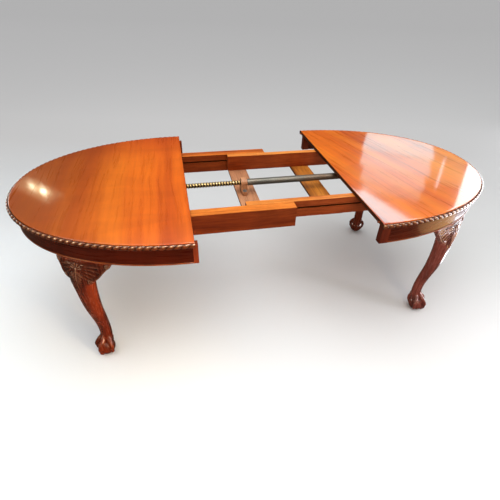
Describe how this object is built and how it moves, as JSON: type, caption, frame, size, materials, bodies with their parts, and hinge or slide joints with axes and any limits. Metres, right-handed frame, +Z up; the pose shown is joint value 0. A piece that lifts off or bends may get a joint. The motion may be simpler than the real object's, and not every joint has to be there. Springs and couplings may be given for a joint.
{
  "type": "extending dining table",
  "caption": "Oval wind-out dining table, open for leaves: gadrooned half tops on cabriole legs with ball-and-claw feet, grooved slide rails and a central screw.",
  "frame": {"origin": "on the floor under the middle of the open table", "axes": "+X along the table away from the screw's winding end, +Y across it to the back, +Z up"},
  "size_m": [2.444, 1.186, 0.75],
  "materials": {
    "polished_top": "high gloss french polish",
    "edge_moulding": "polished, dark in the hollows",
    "apron_wood": "polished",
    "leg_wood": "polished, dark",
    "knee_wood": "dull carved",
    "slide_wood": "waxed",
    "board_wood_pale": "bare, sanded",
    "board_wood_golden": "waxed",
    "tongue_wood": "bare",
    "screw_brass": "worn, oily roots",
    "fitting_brass": "polished",
    "tube_steel": "dull grey",
    "iron_fittings": "dull"
  },
  "bodies": {
    "left_half": {"left_top": "polished_top", "left_gadroon_edge": "edge_moulding", "left_apron": "apron_wood", "left_apron_bead": "edge_moulding", "left_apron_end_blocks": "apron_wood", "left_stub_rails": "apron_wood", "left_glue_blocks": "tongue_wood", "outer_rail_front": "slide_wood", "outer_rail_back": "slide_wood", "outer_rail_tongues": "tongue_wood", "left_head_rail": "slide_wood", "left_cross_tie": "slide_wood", "leg_front_left": "leg_wood", "leg_back_left": "leg_wood", "left_knee_brackets": "knee_wood", "screw_bearing_plates": "iron_fittings", "bearing_plate_screws": "iron_fittings", "winder_ferrule": "fitting_brass", "left_top_screws": "iron_fittings"},
    "screw": {"screw_rod": "screw_brass", "screw_retaining_collar": "iron_fittings"},
    "right_half": {"right_top": "polished_top", "right_gadroon_edge": "edge_moulding", "right_apron": "apron_wood", "right_apron_bead": "edge_moulding", "right_apron_end_blocks": "apron_wood", "right_stub_rails": "apron_wood", "right_glue_blocks": "tongue_wood", "inner_rail_front": "slide_wood", "inner_rail_back": "slide_wood", "inner_rail_tongues": "tongue_wood", "cross_board_near": "board_wood_pale", "cross_board_far": "board_wood_golden", "cross_board_screws": "iron_fittings", "tail_rail": "slide_wood", "leg_front_right": "leg_wood", "leg_back_right": "leg_wood", "right_knee_brackets": "knee_wood", "nut_block": "board_wood_pale", "nut_bolts": "iron_fittings", "screw_tube": "tube_steel", "right_top_screws": "iron_fittings", "leaf_pegs": "slide_wood"}
  },
  "joints": [
    {"name": "extension", "type": "slide", "parent": "left_half", "child": "right_half", "axis": [1, 0, 0], "range_m": [-0.8035, 0]},
    {"name": "screw_spin", "type": "hinge", "parent": "left_half", "child": "screw", "pos_m": [0, 0, 0.695], "axis": [1, 0, 0], "continuous": true}
  ],
  "couplings": [
    {"joint": "screw_spin", "follows": "extension", "rad_per_m": -418.88}
  ]
}
